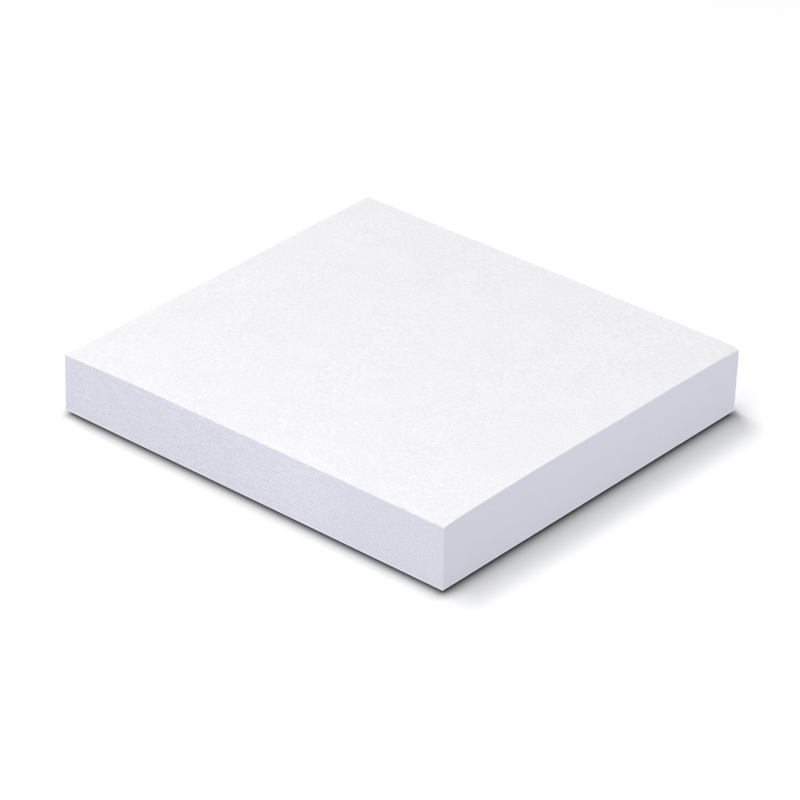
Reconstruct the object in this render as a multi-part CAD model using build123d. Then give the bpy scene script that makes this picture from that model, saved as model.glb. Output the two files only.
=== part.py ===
from build123d import *
import os

# A pad of blank sticky notes, in millimetres: a block of paper notes, each with a strip of
# low-tack adhesive under the same edge, standing on one plain backing sheet.
# The origin is at the middle of the underside, with +Z up. +X runs along the long side of
# the notes towards the glued edge, and Y runs along the glued edge.

# Plan, cut by one guillotine stroke on each side, so the notes and the backing are flush
pad_length = 76.2  # 3 in, from the free edge to the glued edge
pad_width = 69.85  # 2 3/4 in, along the glued edge

# The stack
note_count = 100
note_thickness = 0.095
adhesive_coat = 0.0145  # share of the adhesive in each note's thickness at the glued edge
crown = 0.22  # how far the loosely lying middle stands above the line from edge to edge
backing_thickness = 0.2

free_edge_height = note_count * note_thickness
glued_edge_height = note_count * (note_thickness + adhesive_coat)


def make_backing_sheet():
    """The last sheet of the pad, with no adhesive, which stays flat on the desk."""
    return Box(
        pad_length,
        pad_width,
        backing_thickness,
        align=(Align.CENTER, Align.CENTER, Align.MIN),
    )


def make_note_block():
    """The block of notes: a flat foot, plumb cut edges, and a top that climbs in a shallow
    arc from the thin free edge to the glued edge, where the adhesive adds to each note."""
    foot = backing_thickness
    free_foot = (-pad_length / 2, foot)
    glued_foot = (pad_length / 2, foot)
    free_top = (-pad_length / 2, foot + free_edge_height)
    glued_top = (pad_length / 2, foot + glued_edge_height)
    middle_top = (0, foot + (free_edge_height + glued_edge_height) / 2 + crown)
    with BuildPart() as block:
        with BuildSketch(Plane.XZ):
            with BuildLine():
                Polyline(free_top, free_foot, glued_foot, glued_top)
                ThreePointArc(glued_top, middle_top, free_top)
            make_face()
        extrude(amount=pad_width / 2, both=True)
    return block.part


os.makedirs("parts", exist_ok=True)
export_step(make_backing_sheet(), "parts/backing_sheet.step")
export_step(make_note_block(), "parts/note_block.step")
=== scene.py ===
import math

import bpy
import numpy as np
from mathutils import Matrix, Vector


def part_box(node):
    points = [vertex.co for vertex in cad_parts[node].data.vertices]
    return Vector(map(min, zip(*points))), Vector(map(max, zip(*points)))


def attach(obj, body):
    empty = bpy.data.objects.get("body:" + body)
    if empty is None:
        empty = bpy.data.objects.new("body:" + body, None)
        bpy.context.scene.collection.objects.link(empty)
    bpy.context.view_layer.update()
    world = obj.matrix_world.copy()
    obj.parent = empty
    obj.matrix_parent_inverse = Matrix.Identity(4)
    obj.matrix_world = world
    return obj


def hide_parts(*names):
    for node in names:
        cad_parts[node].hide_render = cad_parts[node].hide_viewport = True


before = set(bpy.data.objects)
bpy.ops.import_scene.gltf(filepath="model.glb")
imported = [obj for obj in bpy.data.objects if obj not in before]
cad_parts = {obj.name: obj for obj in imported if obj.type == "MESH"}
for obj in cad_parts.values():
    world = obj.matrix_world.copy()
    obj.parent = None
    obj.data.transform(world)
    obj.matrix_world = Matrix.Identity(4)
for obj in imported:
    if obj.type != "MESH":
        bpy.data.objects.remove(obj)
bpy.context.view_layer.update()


# Backing sheet. The last sheet of the pad: plain white paper, a little heavier than the notes
# and with no adhesive, so that the lowest note doesn't stick to the desk. The guillotine
# strokes that square the block trim this sheet with it, and leave its edge a hair proud.

MM = 0.001
BACKING_PROUD = 0.015 * MM  # how far the cut edge stands out past the notes
BACKING_PROUD_FRONT = 0.035 * MM  # the same on the -Y side
BACKING_ARRIS = 0.03 * MM  # size of the soft corners at the top and the foot of its cut edge
BACKING_FACE = (0.83, 0.83, 0.85)
BACKING_CUT = (0.92, 0.925, 0.985)
BACKING_SMOOTH = (0, 1)  # range along x with a smoother cut, on past the end of the sheet
backing_low, backing_high = (np.array(corner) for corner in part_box("backing_sheet"))

CELLS_X, CELLS_Y = 112, 104  # grid cells across a sheet
EDGE_CROWDING = 0.42  # 0 spaces the grid lines evenly, 0.5 brings them together at the edges
LEVEL = 0.1 * MM  # unit of height in the pattern on the cut edges, about one note
SHARP_ANGLE = 32  # degrees between two faces from which their edge is shaded sharp
UV_GAP = 0.002  # margin round each part of the UV map


def crowded_lines(low, high, cells):
    """Cell lines from low to high, closer at both ends: the middle plus half the span times
    (1 + c) t - c t^3, for t from -1 to 1 in even steps and c the crowding."""
    t = np.linspace(-1, 1, cells + 1)
    return (low + high) / 2 + (high - low) / 2 * ((1 + EDGE_CROWDING) * t - EDGE_CROWDING * t**3)


lines_x = crowded_lines(backing_low[0], backing_high[0], CELLS_X)
lines_y = crowded_lines(backing_low[1], backing_high[1], CELLS_Y)
grid_x, grid_y = np.meshgrid(lines_x, lines_y, indexing="ij")

# The rim is the grid's border, anticlockwise from the corner at -X, -Y: the sides -Y, +X, +Y
# and -X. out_x and out_y are -1, 0 or 1, and point out of the sheet.
up_x, up_y = np.arange(CELLS_X), np.arange(CELLS_Y)
rim_i = np.concatenate([up_x, np.full(CELLS_Y, CELLS_X), CELLS_X - up_x, np.zeros(CELLS_Y, int)])
rim_j = np.concatenate([np.zeros(CELLS_X, int), up_y, np.full(CELLS_X, CELLS_Y), CELLS_Y - up_y])
rim_x, rim_y = lines_x[rim_i], lines_y[rim_j]
rim_side = np.repeat([0, 1, 2, 3], [CELLS_X, CELLS_Y, CELLS_X, CELLS_Y])
out_x = (rim_i == CELLS_X).astype(float) - (rim_i == 0)
out_y = (rim_j == CELLS_Y).astype(float) - (rim_j == 0)


def ring(height, proud):
    """A ring of points round the rim at a height, moved outwards by proud on each side. A
    corner moves out along both of its sides."""
    return np.stack([rim_x + out_x * proud, rim_y + out_y * proud, height + 0 * rim_x], axis=-1)


def sheet_skin(name, rings, levels, underside, face, strip, face_share, underside_share):
    """A closed skin: rings joined by quads into the cut edges, and two grids whose border is
    the first and the last ring. rings holds ring, point, (x, y, z), underside and face hold
    column, row, (x, y, z), and levels is the level of each ring for the pattern on the cut. On
    the UV map the four sides are strips, each a share strip tall, with v by the length of the
    profile, and the grids lie side by side above them."""
    count, rim = rings.shape[:2]
    inner = (slice(1, -1), slice(1, -1))
    points = [rings.reshape(-1, 3)]
    point_levels = [np.repeat(levels, rim)]
    corners_of_grid = []
    for border, grid in ((0, underside), (count - 1, face)):
        index = np.zeros(grid_x.shape, int)
        start = sum(len(p) for p in points)
        index[inner] = start + np.arange(grid_x[inner].size).reshape(grid_x[inner].shape)
        index[rim_i, rim_j] = border * rim + np.arange(rim)
        points.append(grid[inner].reshape(-1, 3))
        point_levels.append(np.full(grid_x[inner].size, levels[border]))
        corners_of_grid.append(index)

    row, point = np.meshgrid(np.arange(count - 1), np.arange(rim), indexing="ij")
    after = (point + 1) % rim
    low_edge, high_edge = row * rim, (row + 1) * rim
    sides = np.stack([low_edge + point, low_edge + after, high_edge + after, high_edge + point], -1)

    def quads(grid):
        around = [grid[:-1, :-1], grid[1:, :-1], grid[1:, 1:], grid[:-1, 1:]]
        return np.stack(around, -1).reshape(-1, 4)

    below, above = (quads(index) for index in corners_of_grid)
    faces = np.concatenate([sides.reshape(-1, 4), below[:, ::-1], above])

    steps = np.linalg.norm(np.diff(rings, axis=0), axis=2).mean(1)
    rise = np.concatenate([[0], np.cumsum(steps)]) / steps.sum()
    first_of_side = np.array([0, CELLS_X, CELLS_X + CELLS_Y, 2 * CELLS_X + CELLS_Y])
    cells_of_side = np.array([CELLS_X, CELLS_Y, CELLS_X, CELLS_Y])
    side = rim_side[point]
    along = (point - first_of_side[side]) / cells_of_side[side]
    along_after = along + 1 / cells_of_side[side]
    left = UV_GAP + along * (1 - 2 * UV_GAP)
    right = UV_GAP + along_after * (1 - 2 * UV_GAP)
    low = side * strip + UV_GAP + rise[row] * (strip - 2 * UV_GAP)
    high = side * strip + UV_GAP + rise[row + 1] * (strip - 2 * UV_GAP)
    side_uv = np.stack([left, low, right, low, right, high, left, high], -1).reshape(-1, 4, 2)

    def grid_uv(u_from, share, flip):
        spread_x = (grid_x - grid_x.min()) / np.ptp(grid_x)
        spread_y = (grid_y - grid_y.min()) / np.ptp(grid_y)
        u = u_from + UV_GAP + spread_x * (share - 2 * UV_GAP)
        v = 4 * strip + UV_GAP + spread_y * (1 - 4 * strip - 2 * UV_GAP)
        uv = np.stack([quads(u), quads(v)], -1)
        return uv[:, ::-1] if flip else uv

    below_uv = grid_uv(face_share, underside_share, True)
    above_uv = grid_uv(0, face_share, False)
    uv = np.concatenate([side_uv, below_uv, above_uv])

    mesh = bpy.data.meshes.new(name)
    mesh.from_pydata(np.concatenate(points), [], faces)
    mesh.uv_layers.new(name="OFBake").uv.foreach_set("vector", uv.astype(np.float32).ravel())
    level = mesh.attributes.new("level", "FLOAT", "POINT")
    level.data.foreach_set("value", np.concatenate(point_levels).astype(np.float32))
    cut = np.arange(len(faces)) < sides.shape[0] * sides.shape[1]
    mesh.polygons.foreach_set("material_index", cut.astype(np.int32))
    mesh.shade_smooth()
    mesh.set_sharp_from_angle(angle=math.radians(SHARP_ANGLE))
    mesh.validate()
    piece = bpy.data.objects.new(name, mesh)
    bpy.context.scene.collection.objects.link(piece)
    return piece


def arithmetic(tree, operation, *values):
    """A Math node on numbers and sockets."""
    node = tree.nodes.new("ShaderNodeMath")
    node.operation = operation
    for socket, value in zip(node.inputs, values):
        if isinstance(value, (int, float)):
            socket.default_value = value
        else:
            tree.links.new(value, socket)
    return node.outputs[0]


def eased(tree, value, low, high):
    """0 where the value is at low, 1 where it is at high, with a smooth step between."""
    node = tree.nodes.new("ShaderNodeMapRange")
    node.interpolation_type = "SMOOTHSTEP"
    node.inputs["From Min"].default_value = low
    node.inputs["From Max"].default_value = high
    tree.links.new(value, node.inputs["Value"])
    return node.outputs["Result"]


def swing(tree, tone, value, amount):
    """A tone of about 1, made lighter or darker by a noise value that swings about 0.5."""
    offset = arithmetic(tree, "SUBTRACT", value, 0.5)
    return arithmetic(tree, "MULTIPLY_ADD", offset, amount, tone)


def toned(tree, colour, tone):
    """A colour, as three numbers or a socket, times a tone."""
    node = tree.nodes.new("ShaderNodeVectorMath")
    node.operation = "SCALE"
    if isinstance(colour, tuple):
        node.inputs[0].default_value = colour
    else:
        tree.links.new(colour, node.inputs[0])
    tree.links.new(tone, node.inputs["Scale"])
    return node.outputs["Vector"]


def noise(tree, vector, size, detail, roughness, stretch=(1, 1, 1), turn=0):
    """Noise from about 0 to 1 with lumps of a size, drawn out where stretch is below 1."""
    laid = tree.nodes.new("ShaderNodeMapping")
    laid.inputs["Rotation"].default_value[2] = math.radians(turn)
    laid.inputs["Scale"].default_value = stretch
    node = tree.nodes.new("ShaderNodeTexNoise")
    node.inputs["Scale"].default_value = 1 / size
    node.inputs["Detail"].default_value = detail
    node.inputs["Roughness"].default_value = roughness
    tree.links.new(vector, laid.inputs["Vector"])
    tree.links.new(laid.outputs[0], node.inputs["Vector"])
    return node.outputs["Fac"]


def new_group(name, inputs, outputs):
    """An empty shader group with named sockets, and its input and output nodes."""
    group = bpy.data.node_groups.new(name, "ShaderNodeTree")
    for label, kind in inputs:
        group.interface.new_socket(label, in_out="INPUT", socket_type=kind)
    for label in outputs:
        group.interface.new_socket(label, in_out="OUTPUT", socket_type="NodeSocketFloat")
    return group, group.nodes.new("NodeGroupInput"), group.nodes.new("NodeGroupOutput")


# Noises of the flat of the paper: size of the lumps, detail, roughness and, for the fibres, the
# stretch that draws them out.
CLOUDS = (6 * MM, 3, 0.6)
TOOTH = (0.36 * MM, 3, 0.7)
FIBRES = (0.16 * MM, 1, 0.5, (0.1, 1, 1))
FIBRE_TURNS = (12, 71, 133)  # degrees


def paper_grain_group():
    """Uncoated paper from a position on it: the soft clouds of uneven pulp, the tooth of the
    felt side, and single fibres, which are noise drawn out along three directions."""
    vector = [("Position", "NodeSocketVector")]
    group, start, end = new_group("paper grain", vector, ("Clouds", "Tooth", "Fibres"))
    place = start.outputs["Position"]
    group.links.new(noise(group, place, *CLOUDS), end.inputs["Clouds"])
    group.links.new(noise(group, place, *TOOTH), end.inputs["Tooth"])
    threads = [noise(group, place, *FIBRES, turn) for turn in FIBRE_TURNS]
    crossing = arithmetic(group, "MAXIMUM", threads[0], threads[1])
    group.links.new(arithmetic(group, "MAXIMUM", crossing, threads[2]), end.inputs["Fibres"])
    return group


# Noises of the cut edge: size of the lumps across the sheets, detail, roughness, and the
# stretch that draws them out along the sheets.
STREAKS = (0.24 * MM, 1, 0.5, (0.09, 0.09, 1))
LINE_WANDER = (1.2 * MM, 1, 0.5, (0.12, 0.12, 1))
LINE_FADING = (1.1 * MM, 1, 0.5, (0.3, 0.3, 1))
MOTTLE = (0.27 * MM, 2, 0.6, (0.75, 0.75, 1))
SPECKS = (0.4 * MM, 2, 0.6, (0.5, 0.5, 1))
LINE_PITCH = 5.6  # levels from one line to the next
WANDER_REACH = 5.0  # the most that a line strays, in radians of its wave
FADED, CLEAR = 0.3, 0.6  # values of the fading noise where a line is gone and where it is whole
NICK_START, NICK_FULL = 0.62, 0.72  # values of the speck noise from which it is a nick


def cut_grain_group():
    """Paper cut through, from a position and a level that counts the sheets: streaks that run
    along the sheets, painted light and shade where some stand a little out of the cut; lines,
    which are a sine of the level that wanders and fades in places, painted light and shade of
    the notes stepping in and out; a fine mottle of crushed fibres; and small nicks, where
    another noise is at its highest, which the cut material darkens as painted shade."""
    inputs = [("Position", "NodeSocketVector"), ("Level", "NodeSocketFloat")]
    group, start, end = new_group("cut grain", inputs, ("Streaks", "Lines", "Mottle", "Nick shade"))
    split = group.nodes.new("ShaderNodeSeparateXYZ")
    joined = group.nodes.new("ShaderNodeCombineXYZ")
    group.links.new(start.outputs["Position"], split.inputs[0])
    group.links.new(split.outputs["X"], joined.inputs["X"])
    group.links.new(split.outputs["Y"], joined.inputs["Y"])
    group.links.new(arithmetic(group, "MULTIPLY", start.outputs["Level"], LEVEL), joined.inputs["Z"])
    place = joined.outputs[0]
    group.links.new(noise(group, place, *STREAKS), end.inputs["Streaks"])
    turn = arithmetic(group, "MULTIPLY", start.outputs["Level"], 2 * math.pi / LINE_PITCH)
    wander = noise(group, place, *LINE_WANDER)
    turn = arithmetic(group, "MULTIPLY_ADD", wander, WANDER_REACH, turn)
    clear = eased(group, noise(group, place, *LINE_FADING), FADED, CLEAR)
    wave = arithmetic(group, "MULTIPLY", arithmetic(group, "SINE", turn), clear)
    group.links.new(arithmetic(group, "MULTIPLY_ADD", wave, 0.5, 0.5), end.inputs["Lines"])
    group.links.new(noise(group, place, *MOTTLE), end.inputs["Mottle"])
    specks = noise(group, place, *SPECKS)
    group.links.new(eased(group, specks, NICK_START, NICK_FULL), end.inputs["Nick shade"])
    return group


paper_grain = paper_grain_group()
cut_grain = cut_grain_group()


def paper_face_material(name, colour, cloud, tooth, fibre, relief):
    """The flat of a sheet: clouds, tooth and fibres tone it and dimple it."""
    material = bpy.data.materials.new(name)
    material.use_nodes = True
    tree = material.node_tree
    shader = tree.nodes["Principled BSDF"]
    shader.inputs["Roughness"].default_value = 0.9
    shader.inputs["Specular IOR Level"].default_value = 0.3
    place = tree.nodes.new("ShaderNodeTexCoord")
    grain = tree.nodes.new("ShaderNodeGroup")
    grain.node_tree = paper_grain
    tree.links.new(place.outputs["Object"], grain.inputs["Position"])
    fine = swing(tree, 1, grain.outputs["Tooth"], tooth)
    fine = swing(tree, fine, grain.outputs["Fibres"], fibre)
    tone = swing(tree, fine, grain.outputs["Clouds"], cloud)
    tree.links.new(toned(tree, colour, tone), shader.inputs["Base Color"])
    bump = tree.nodes.new("ShaderNodeBump")
    bump.inputs["Strength"].default_value = 1
    bump.inputs["Distance"].default_value = relief
    tree.links.new(fine, bump.inputs["Height"])
    tree.links.new(bump.outputs["Normal"], shader.inputs["Normal"])
    return material


# Where the cut changes along x, from the adhesive's edge at -X: over which stretch the streaks
# set in, the colour turns to that of loose sheets, and nicks take over from the lines.
OPENING = (13 * MM, -3 * MM)
PALING = (8 * MM, -4 * MM)
FREEING = (-8 * MM, -28 * MM)
ROUGHENING = (-0.1 * MM, -1.2 * MM)  # where the mottle sets in, from the adhesive's edge at +X
SMOOTH_MOTTLE = 0.15  # share of the mottle at that edge


def paper_cut_material(name, glued, loose, glue, streak, line, mottle, nick_shade, relief):
    """The guillotined edge of paper, with glue the range of the adhesive along x. Over it the
    sheets close up, of the glued colour, and at its end they are smoothest. Past its edge,
    towards -X, they turn to the loose colour: first with streaks and lines of painted light and
    shade, which fade again, and then with nicks darkened by painted shade."""
    material = bpy.data.materials.new(name)
    material.use_nodes = True
    tree = material.node_tree
    shader = tree.nodes["Principled BSDF"]
    shader.inputs["Roughness"].default_value = 0.95
    shader.inputs["Specular IOR Level"].default_value = 0.2
    place = tree.nodes.new("ShaderNodeTexCoord")
    level = tree.nodes.new("ShaderNodeAttribute")
    level.attribute_name = "level"
    grain = tree.nodes.new("ShaderNodeGroup")
    grain.node_tree = cut_grain
    tree.links.new(place.outputs["Object"], grain.inputs["Position"])
    tree.links.new(level.outputs["Fac"], grain.inputs["Level"])
    split = tree.nodes.new("ShaderNodeSeparateXYZ")
    tree.links.new(place.outputs["Object"], split.inputs[0])
    across = split.outputs["X"]

    def change(edge, stretch):
        return eased(tree, across, edge + stretch[0], edge + stretch[1])

    opened, freed = change(glue[0], OPENING), change(glue[0], FREEING)
    lined = arithmetic(tree, "MULTIPLY", arithmetic(tree, "SUBTRACT", 1, freed), opened)
    line_here = arithmetic(tree, "MULTIPLY", lined, line)
    streak_here = arithmetic(tree, "MULTIPLY", opened, streak)
    least = SMOOTH_MOTTLE * mottle
    mottle_here = arithmetic(tree, "MULTIPLY_ADD", change(glue[1], ROUGHENING), mottle - least, least)
    # Streaks and lines make the tone lighter and darker: painted light and shade of notes standing in
    # and out of the cut.
    fine = swing(tree, 1, grain.outputs["Streaks"], streak_here)
    fine = swing(tree, fine, grain.outputs["Lines"], line_here)
    fine = swing(tree, fine, grain.outputs["Mottle"], mottle_here)
    # Nicks darken the colour: painted shade in small pits.
    nick_shading = arithmetic(tree, "MULTIPLY", grain.outputs["Nick shade"], freed)
    tone = arithmetic(tree, "MULTIPLY_ADD", nick_shading, -nick_shade, fine)
    colour = tree.nodes.new("ShaderNodeMix")
    colour.data_type = "RGBA"
    colour.inputs["A"].default_value = (*glued, 1)
    colour.inputs["B"].default_value = (*loose, 1)
    tree.links.new(change(glue[0], PALING), colour.inputs["Factor"])
    tree.links.new(toned(tree, colour.outputs["Result"], tone), shader.inputs["Base Color"])
    bump = tree.nodes.new("ShaderNodeBump")
    bump.inputs["Strength"].default_value = 1
    bump.inputs["Distance"].default_value = relief
    tree.links.new(tone, bump.inputs["Height"])
    tree.links.new(bump.outputs["Normal"], shader.inputs["Normal"])
    return material


backing_proud = np.where(out_y < 0, BACKING_PROUD_FRONT, BACKING_PROUD)
backing_profile = (  # height, and how far it stands out
    (backing_low[2], backing_proud - BACKING_ARRIS / 2),
    (backing_low[2] + BACKING_ARRIS, backing_proud),
    (backing_high[2] - BACKING_ARRIS, backing_proud),
    (backing_high[2], backing_proud - BACKING_ARRIS),
)
backing_sheet = sheet_skin(
    "backing_sheet_paper",
    np.stack([ring(height, proud) for height, proud in backing_profile]),
    np.array([height for height, proud in backing_profile]) / LEVEL,
    np.stack([grid_x, grid_y, np.full_like(grid_x, backing_low[2])], axis=-1),
    np.stack([grid_x, grid_y, np.full_like(grid_x, backing_high[2])], axis=-1),
    strip=0.014,
    face_share=0.09,
    underside_share=0.91,
)
backing_face = paper_face_material(
    "backing paper", BACKING_FACE, cloud=0.04, tooth=0.16, fibre=0.08, relief=0.01 * MM
)
backing_cut = paper_cut_material(
    "backing paper cut",
    glued=BACKING_CUT,
    loose=BACKING_CUT,
    glue=BACKING_SMOOTH,
    streak=0.1,
    line=0,
    mottle=0.15,
    nick_shade=0,
    relief=0.004 * MM,
)
backing_sheet.data.materials.append(backing_face)
backing_sheet.data.materials.append(backing_cut)
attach(backing_sheet, "root")
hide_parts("backing_sheet")


# Block of notes. A hundred sheets of uncoated white paper, each with a strip of low-tack
# adhesive under its edge at +X, laid up in lifts of 25 or so and trimmed. The adhesive holds
# the sheets tight, and towards the free edge each lies loose, a hair in or out of the cut.

NOTES = 100
LIFTS = 4
STRIP_WIDTH = 24 * MM  # adhesive strip, from the glued edge
LOOSENING = 22 * MM  # over this length past the strip the notes come fully loose
NOTE_FACE = (0.779, 0.779, 0.804)
NOTE_CUT_LOOSE = (0.807, 0.805, 0.905)
NOTE_CUT_GLUED = (0.764, 0.780, 0.876)
CROWN = 0.22 * MM  # rise of the middle over the line between the free and the glued edge
SPRING = 0.08 * MM  # how far the loose notes spring up in a low ridge beside the free edge
SPRING_WIDTH = 28 * MM
BULGE = 0.15 * MM  # how far a thicker patch of adhesive lifts the glued edge
BULGE_Y, BULGE_WIDTH = -13 * MM, 14 * MM
BULGE_START = 0.4  # share of the length from which it does so
PRESSED = 0.52 * MM  # how far the blade's clamp pressed down the top along -Y, at the glued end
PRESSED_WIDTH = 1.5 * MM
PRESSED_START = 0.1  # share of the length from which it did so
SLUMP = 0.20 * MM  # how far the top falls off towards the +Y side
CURL = 0.49 * MM  # how far the notes curl up at the free edge's +Y corner
CURL_POWER = 1.6
SAG = 0.10 * MM  # how far the top sags to the glued edge's -Y corner
KNOCK = 0.29 * MM  # how far the glued edge was knocked down beside its +Y corner
KNOCK_ALONG, KNOCK_ACROSS = 4.5 * MM, 0.8 * MM  # how far the knock reaches along the edge and in
LEAN_IN, LEAN_OUT = 0.11 * MM, 0.29 * MM  # lean of the stack at the free edge, and over +Y
RUN_OUT, RUN_WIDTH = 0.55 * MM, 18 * MM  # how much further it runs out at the curled corner
TIGHT = 0.08  # how loose the notes lie over the adhesive, where 1 is fully loose
GROUP_SLIP, GROUP_NOTES, GROUP_LENGTH = 0.022 * MM, 5, 24 * MM  # notes that slid together
NOTE_SLIP, NOTE_LENGTH = 0.032 * MM, 9 * MM  # single notes that slid
FRAY, FRAY_LENGTH = 0.004 * MM, 1.3 * MM  # fibres at the cut
CREVICE_TIGHT, CREVICE_LOOSE = 0.006 * MM, 0.030 * MM  # depth between the notes, and more if loose
CREVICE_NOTES, CREVICE_LENGTH = 1.7, 6 * MM
CREVICE_SHARE = 0.13  # share of a note's thickness taken by the crevice on each side of it
block_low, block_high = (np.array(corner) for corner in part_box("note_block"))
block_points = np.array([v.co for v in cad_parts["note_block"].data.vertices])
free_top = block_points[block_points[:, 0] < block_low[0] + MM, 2].max()
glued_top = block_high[2]


def smooth_step(t):
    """0 below t = 0, 1 above t = 1, and 3 t^2 - 2 t^3 between."""
    t = np.clip(t, 0, 1)
    return t * t * (3 - 2 * t)


def drift(seed, across, along):
    """Smooth noise from -1 to 1 over two arrays: random values at the whole numbers of across
    and along, joined by smooth steps in both directions."""
    across, along = np.broadcast_arrays(across - across.min(), along - along.min())
    row, column = np.floor(across).astype(int), np.floor(along).astype(int)
    knots = np.random.default_rng(seed).uniform(-1, 1, (row.max() + 2, column.max() + 2))
    down, right = smooth_step(across - row), smooth_step(along - column)
    near = knots[row, column] * (1 - right) + knots[row, column + 1] * right
    far = knots[row + 1, column] * (1 - right) + knots[row + 1, column + 1] * right
    return near * (1 - down) + far * down


def top_height(x, y):
    """Top of the block: the line from free to glued edge, plus the parabola 4 s (1 - s) CROWN
    with s from 0 to 1 along x, a spring with the squared sine of one half turn over its width,
    a bell-shaped bulge on the glued edge, and a curl with (1 - s) t^1.6, t from 0 to 1 along y,
    less a pressed band that decays away from -Y with the root of the distance, a fall towards
    +Y with the cube of the distance past the middle, a sag with s (1 - t), and a knock that
    decays away from the +X, +Y corner along both edges."""
    length, width = block_high[0] - block_low[0], block_high[1] - block_low[1]
    s = (x - block_low[0]) / length
    t = (y - block_low[1]) / width
    line = free_top + (glued_top - free_top) * s
    crown = CROWN * 4 * s * (1 - s)
    spring = SPRING * np.sin(math.pi * np.clip(s * length / SPRING_WIDTH, 0, 1)) ** 2
    bulge = BULGE * smooth_step((s - BULGE_START) / (1 - BULGE_START))
    bulge = bulge * np.exp(-(((y - BULGE_Y) / BULGE_WIDTH) ** 2))
    pressed = PRESSED * smooth_step((s - PRESSED_START) / (1 - PRESSED_START))
    pressed = pressed * np.exp(-np.sqrt(t * width / PRESSED_WIDTH))
    slump = SLUMP * np.clip(2 * t - 1, 0, 1) ** 3
    knock = KNOCK * np.exp((y - block_high[1]) / KNOCK_ALONG + (x - block_high[0]) / KNOCK_ACROSS)
    curl = CURL * (1 - s) * t**CURL_POWER
    sag = SAG * s * (1 - t)
    return line + crown + spring + bulge + curl - pressed - slump - sag - knock


def level_height(level, x, y):
    """Height of the boundary between notes at a level, 0 at the foot and NOTES at the top."""
    return block_low[2] + (top_height(x, y) - block_low[2]) * level / NOTES


def slid(level, points):
    """Points at a level as the stack leans: moved towards +X by LEAN_IN (1 - s)^2, and towards
    +Y by (LEAN_OUT + RUN_OUT r^2) t^2, both times the share of the levels below, with s and t
    from 0 to 1 along x and y, and r from 0 to 1 over RUN_WIDTH up to the free edge."""
    x, y, z = np.moveaxis(points, -1, 0)
    s = (x - block_low[0]) / (block_high[0] - block_low[0])
    t = (y - block_low[1]) / (block_high[1] - block_low[1])
    r = np.clip((block_low[0] + RUN_WIDTH - x) / RUN_WIDTH, 0, 1)
    share = level / NOTES
    lean_x = share * LEAN_IN * (1 - s) ** 2
    lean_y = share * (LEAN_OUT + RUN_OUT * r**2) * t**2
    return np.stack([x + lean_x, y + lean_y, z], axis=-1)


def looseness(x):
    """0 over the adhesive strip, rising smoothly to 1 towards the free edge."""
    return smooth_step((block_high[0] - STRIP_WIDTH - x) / LOOSENING)


# How far each note's edge stands out of the cut, with a row for each note and a column for each
# point of the rim, and how far out the crevice under it lies: the less proud of the two notes
# that it parts, less its depth.
note = np.arange(NOTES)[:, None]
rim_steps = np.hypot(np.diff(rim_x, prepend=rim_x[0]), np.diff(rim_y, prepend=rim_y[0]))
along_rim = np.cumsum(rim_steps)[None, :]
loose = TIGHT + (1 - TIGHT) * looseness(rim_x)[None, :]
proud = GROUP_SLIP * loose * drift(1, note / GROUP_NOTES, along_rim / GROUP_LENGTH)
proud = proud + NOTE_SLIP * loose * drift(2, note, along_rim / NOTE_LENGTH) ** 3
proud = proud + FRAY * drift(3, note, along_rim / FRAY_LENGTH)
unevenness = 0.6 + 0.4 * drift(4, note / CREVICE_NOTES, along_rim / CREVICE_LENGTH)
crevice_depth = CREVICE_TIGHT + CREVICE_LOOSE * loose * unevenness
crevice = np.minimum(proud, np.roll(proud, 1, axis=0)) - crevice_depth
crevice[0] = proud[0] - crevice_depth[0]


def notes_skin(name, first, last, **uv_shares):
    """The skin of the notes from first up to last: for each note a ring in the crevice under
    it and one on each of its arrises, then a ring in the crevice over the last one, unless it
    is the top of the pad, whose upper arris meets its face."""
    levels, depths = [], []
    for number in range(first, last):
        upper = 1.0 if number == NOTES - 1 else 1 - CREVICE_SHARE
        levels += [number, number + CREVICE_SHARE, number + upper]
        depths += [crevice[number], proud[number], proud[number]]
    if last < NOTES:
        levels.append(last)
        depths.append(crevice[last])
    rings = [
        slid(level, ring(level_height(level, rim_x, rim_y), depth))
        for level, depth in zip(levels, depths)
    ]
    underside, face = (
        slid(level, np.stack([grid_x, grid_y, level_height(level, grid_x, grid_y)], axis=-1))
        for level in (first, last)
    )
    return sheet_skin(name, np.stack(rings), np.array(levels, float), underside, face, **uv_shares)


note_face = paper_face_material(
    "note paper", NOTE_FACE, cloud=0.07, tooth=0.41, fibre=0.13, relief=0.012 * MM
)
note_cut = paper_cut_material(
    "note paper cut",
    glued=NOTE_CUT_GLUED,
    loose=NOTE_CUT_LOOSE,
    glue=(float(block_high[0] - STRIP_WIDTH), float(block_high[0])),
    streak=0.17,
    line=0.11,
    mottle=0.5,
    nick_shade=0.13,
    relief=0.006 * MM,
)
lift_ends = np.linspace(0, NOTES - 1, LIFTS + 1).round().astype(int)
for lift, (first, last) in enumerate(zip(lift_ends[:-1], lift_ends[1:])):
    notes = notes_skin(
        f"notes_lift_{lift + 1}", first, last, strip=0.236, face_share=0.08, underside_share=0.08
    )
    notes.data.materials.append(note_face)
    notes.data.materials.append(note_cut)
    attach(notes, "root")
    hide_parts("note_block")


# Top note. The next note to be peeled off: the same blank paper, held by its own strip of
# adhesive, with the pad's only open face.

top_note = notes_skin(
    "top_note", NOTES - 1, NOTES, strip=0.014, face_share=0.91, underside_share=0.09
)
top_note.data.materials.append(note_face)
top_note.data.materials.append(note_cut)
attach(top_note, "root")
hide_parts("note_block")


# Floor. A wide board of white, like a light table: it burns out to plain white, and what it
# throws back at the pad is partly an even glow from inside it, which is painted light. Seen
# directly it has no glow, and it has a painted contact shadow round the pad's foot, in a narrow
# band with a faint halo.

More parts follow.
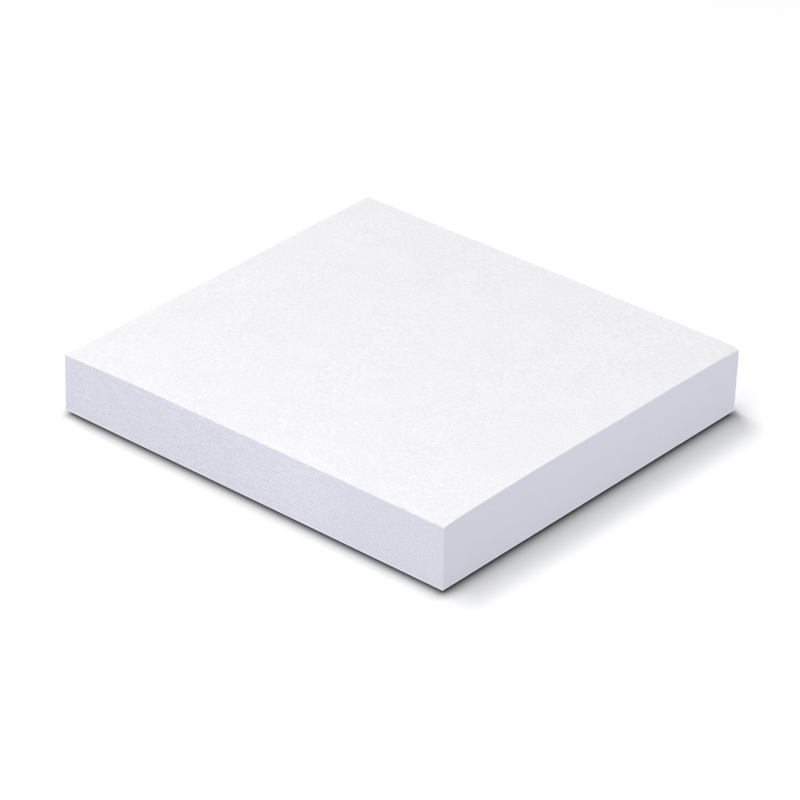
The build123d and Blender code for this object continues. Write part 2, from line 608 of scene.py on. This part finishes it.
FLOOR_HALF = 12.0  # half its side, in metres
FLOOR_WHITE = (0.98, 0.98, 0.98)
GLOW = 0.85
GLOW_SHARE = 0.7  # share of the glow in what the board gives off, and the rest is thrown back
CONTACT_DEPTH = 0.82
CONTACT_WIDTH = 1.4 * MM
CONTACT_POWER = 1.6
HALO_DEPTH = 0.13
HALO_WIDTH = 5.0 * MM
HALO_SQUEEZE = 3  # the halo is this much narrower along x than along y
SEAM_DEPTH = 0.3
SEAM_WIDTH = 0.25 * MM
FREE_INSET = 2.0 * MM  # how far in the painted contact shadow starts at the free edge
FAR_INSET = 1.8 * MM  # the same at the +Y side


def squares_past(tree, split, low, high):
    """The squares of how far a place is past the rectangle between two corners, along x and
    along y: the part of |x - middle| past half the size, and 0 inside."""
    squares = []
    for axis, first, last in zip("XY", low, high):
        off_middle = arithmetic(tree, "SUBTRACT", split.outputs[axis], (first + last) / 2)
        past = arithmetic(tree, "SUBTRACT", arithmetic(tree, "ABSOLUTE", off_middle), (last - first) / 2)
        squares.append(arithmetic(tree, "POWER", arithmetic(tree, "MAXIMUM", past, 0), 2))
    return squares


def decay(tree, square, width, power):
    """exp(-(distance / width)^power), from the square of the distance."""
    reach = arithmetic(tree, "POWER", arithmetic(tree, "DIVIDE", square, width**2), power / 2)
    return arithmetic(tree, "EXPONENT", arithmetic(tree, "MULTIPLY", reach, -1))


def contact_shadow(tree, foot_low, foot_high, from_camera):
    """A contact shadow painted into the floor's colour, as the tone (1 - band - halo) (1 - seam),
    each part a depth times a decay. The seam's distance is from the pad's foot, and the band's
    and the halo's from the foot less the insets, for the halo with x times HALO_SQUEEZE. The
    tone is 1 for rays that don't come from the camera."""
    place = tree.nodes.new("ShaderNodeTexCoord")
    split = tree.nodes.new("ShaderNodeSeparateXYZ")
    tree.links.new(place.outputs["Object"], split.inputs[0])
    low = (foot_low[0] + FREE_INSET, foot_low[1])
    high = (foot_high[0], foot_high[1] - FAR_INSET)
    inset_x, inset_y = squares_past(tree, split, low, high)
    band = decay(tree, arithmetic(tree, "ADD", inset_x, inset_y), CONTACT_WIDTH, CONTACT_POWER)
    squeezed = arithmetic(tree, "MULTIPLY_ADD", inset_x, HALO_SQUEEZE**2, inset_y)
    halo = decay(tree, squeezed, HALO_WIDTH, 2)
    foot_x, foot_y = squares_past(tree, split, foot_low, foot_high)
    seam = decay(tree, arithmetic(tree, "ADD", foot_x, foot_y), SEAM_WIDTH, 1)
    tone = arithmetic(tree, "MULTIPLY_ADD", band, -CONTACT_DEPTH, 1)
    tone = arithmetic(tree, "MULTIPLY_ADD", halo, -HALO_DEPTH, tone)
    tone = arithmetic(tree, "MULTIPLY", tone, arithmetic(tree, "MULTIPLY_ADD", seam, -SEAM_DEPTH, 1))
    darkened = arithmetic(tree, "MULTIPLY", arithmetic(tree, "SUBTRACT", 1, tone), from_camera)
    return arithmetic(tree, "SUBTRACT", 1, darkened)


floor_mesh = bpy.data.meshes.new("floor")
corners = ((-1, -1), (1, -1), (1, 1), (-1, 1))
floor_points = [(x * FLOOR_HALF, y * FLOOR_HALF, backing_low[2]) for x, y in corners]
floor_mesh.from_pydata(floor_points, [], [(0, 1, 2, 3)])
floor = bpy.data.objects.new("floor", floor_mesh)
bpy.context.scene.collection.objects.link(floor)
white_board = bpy.data.materials.new("white board")
white_board.use_nodes = True
board = white_board.node_tree
board_shader = board.nodes["Principled BSDF"]
board_shader.inputs["Roughness"].default_value = 1
board_shader.inputs["Specular IOR Level"].default_value = 0
from_camera = board.nodes.new("ShaderNodeLightPath").outputs["Is Camera Ray"]
contact = contact_shadow(board, backing_low.tolist(), backing_high.tolist(), from_camera)
# The contact shadow is painted into the board's colour, for camera rays only.
board.links.new(toned(board, FLOOR_WHITE, contact), board_shader.inputs["Base Color"])
# The glow is painted light, given off only to rays that don't come from the camera.
glow = board.nodes.new("ShaderNodeEmission")
glow.inputs["Strength"].default_value = GLOW
either = board.nodes.new("ShaderNodeMixShader")
glowing = arithmetic(board, "MULTIPLY_ADD", from_camera, -GLOW_SHARE, GLOW_SHARE)
board.links.new(glowing, either.inputs["Fac"])
board.links.new(board_shader.outputs[0], either.inputs[1])
board.links.new(glow.outputs[0], either.inputs[2])
board.links.new(either.outputs[0], board.nodes["Material Output"].inputs["Surface"])
floor_mesh.materials.append(white_board)


# Studio. A white room whose even light reaches everywhere, a wide distant light behind on the
# left and one high over the left, a weak low one on the right, and three small soft boxes: two
# close over the front, and one low on the right.

SURROUND = 0.4
HORIZON = 0.96  # brightness of the room where it is seen, as bright as the far floor
world = bpy.data.worlds.new("studio")
bpy.context.scene.world = world
world.use_nodes = True
room = world.node_tree
surround = room.nodes["Background"]
surround.inputs["Strength"].default_value = SURROUND
seen = room.nodes.new("ShaderNodeBackground")
seen.inputs["Strength"].default_value = HORIZON
for background in (surround, seen):
    background.inputs["Color"].default_value = (1, 1, 1, 1)
ray = room.nodes.new("ShaderNodeLightPath")
either = room.nodes.new("ShaderNodeMixShader")
room.links.new(ray.outputs["Is Camera Ray"], either.inputs["Fac"])
room.links.new(surround.outputs[0], either.inputs[1])
room.links.new(seen.outputs[0], either.inputs[2])
room.links.new(either.outputs[0], room.nodes["World Output"].inputs["Surface"])


def place_light(light, azimuth, elevation, distance):
    """Places a light and turns it to the pad, by its bearing from -Y towards +X, its height
    over the floor, both in degrees, and its distance."""
    turn, lift = math.radians(azimuth), math.radians(elevation)
    level = Vector((math.sin(turn), -math.cos(turn), 0)) * math.cos(lift)
    lamp = bpy.data.objects.new(light.name, light)
    lamp.location = distance * (level + Vector((0, 0, math.sin(lift))))
    lamp.rotation_euler = lamp.location.to_track_quat("Z", "Y").to_euler()
    bpy.context.scene.collection.objects.link(lamp)


SUN_WIDTH = 28  # degrees
SUNS = (  # name, azimuth, elevation, strength
    ("key", -109, 50, 1.15),
    ("high", -80, 65, 0.84),
    ("fill", 95, 20, 0.30),
)
for name, azimuth, elevation, strength in SUNS:
    distant = bpy.data.lights.new(name, "SUN")
    distant.angle = math.radians(SUN_WIDTH)
    distant.energy = strength
    place_light(distant, azimuth, elevation, 1)
BOXES = (  # name, azimuth, elevation, distance, size, power
    ("left box", -30, 55, 0.25, 0.12, 0.063),
    ("front box", 0, 35, 0.25, 0.12, 0.107),
    ("right box", 96, 15, 0.13, 0.05, 0.0078),
)
for name, azimuth, elevation, distance, size, power in BOXES:
    soft_box = bpy.data.lights.new(name, "AREA")
    soft_box.shape = "SQUARE"
    soft_box.size = size
    soft_box.energy = power
    place_light(soft_box, azimuth, elevation, distance)


# Camera. A long lens on a tripod about two thirds of a metre away, a little above the pad's
# corner between -Y and the glued edge, and aimed a hair off its middle.

AZIMUTH, ELEVATION, ROLL = (math.radians(angle) for angle in (40.08, 30.25, 1.332))
DISTANCE = 661.6 * MM
SHIFT_RIGHT, SHIFT_UP = -0.0966 * MM, 1.531 * MM
LENS, SENSOR = 192.63, 36  # focal length and width, in the millimetres that a camera takes
level_back = Vector((math.sin(AZIMUTH), -math.cos(AZIMUTH), 0))
back = level_back * math.cos(ELEVATION) + Vector((0, 0, math.sin(ELEVATION)))
level_right = Vector((math.cos(AZIMUTH), math.sin(AZIMUTH), 0))
level_up = back.cross(level_right)
right = level_right * math.cos(ROLL) + level_up * math.sin(ROLL)
up = level_up * math.cos(ROLL) - level_right * math.sin(ROLL)
camera_data = bpy.data.cameras.new("camera")
camera_data.lens = LENS
camera_data.sensor_width = SENSOR
camera_data.clip_start = 50 * MM
camera = bpy.data.objects.new("camera", camera_data)
eye = back * DISTANCE + right * SHIFT_RIGHT + up * SHIFT_UP
camera.matrix_world = Matrix.Translation(eye) @ Matrix((right, up, back)).transposed().to_4x4()
bpy.context.scene.collection.objects.link(camera)
bpy.context.scene.camera = camera
bpy.context.scene.view_settings.view_transform = "Standard"
